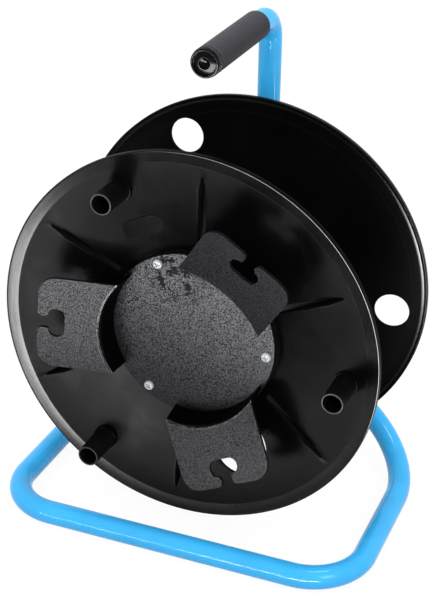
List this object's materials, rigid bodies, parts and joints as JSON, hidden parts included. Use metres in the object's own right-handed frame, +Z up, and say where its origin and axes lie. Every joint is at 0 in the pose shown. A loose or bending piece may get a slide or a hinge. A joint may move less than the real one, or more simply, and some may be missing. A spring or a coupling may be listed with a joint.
{
  "type": "cable drum",
  "caption": "Empty hand cable drum: dished plastic flanges with cable hooks and pegs, turning on a bent blue steel tube stand with a carrying grip.",
  "frame": {"origin": "on the floor under the middle of the whole object's box", "axes": "+Z up, -Y towards the front of the drum with hooks and pegs, +X to the right seen from there"},
  "size_m": [0.3204, 0.2366, 0.3979],
  "materials": {
    "flange_plastic": "fine satin texture",
    "cover_plastic": "coarse grained",
    "peg_plastic": "smooth black",
    "bush_plastic": "natural bearing plastic",
    "saddle_plastic": "smooth",
    "blue_paint": "glossy powder coat",
    "grip_rubber": "soft satin",
    "cap_plastic": "glossy black",
    "zinc_steel": "bright zinc"
  },
  "bodies": {
    "frame": {"base_tube": "blue_paint", "handle_post_tube": "blue_paint", "handle_grip": "grip_rubber", "grip_end_cap": "cap_plastic", "axle_bolt": "zinc_steel", "front_saddle": "saddle_plastic", "rear_saddle": "saddle_plastic", "axle_sleeve": "zinc_steel", "axle_spacer": "saddle_plastic", "axle_washer": "zinc_steel", "axle_nut": "zinc_steel"},
    "drum": {"front_flange": "flange_plastic", "rear_flange": "flange_plastic", "winding_core": "flange_plastic", "hub_cover": "cover_plastic", "cover_screws": "zinc_steel", "rear_flange_screws": "zinc_steel", "peg_upper": "peg_plastic", "peg_lower": "peg_plastic", "peg_right": "peg_plastic", "front_bush": "bush_plastic", "rear_bush": "bush_plastic"}
  },
  "joints": [
    {"name": "drum_spin", "type": "hinge", "parent": "frame", "child": "drum", "pos_m": [0, -0.00555, 0.1743], "axis": [0, 1, 0], "continuous": true}
  ]
}
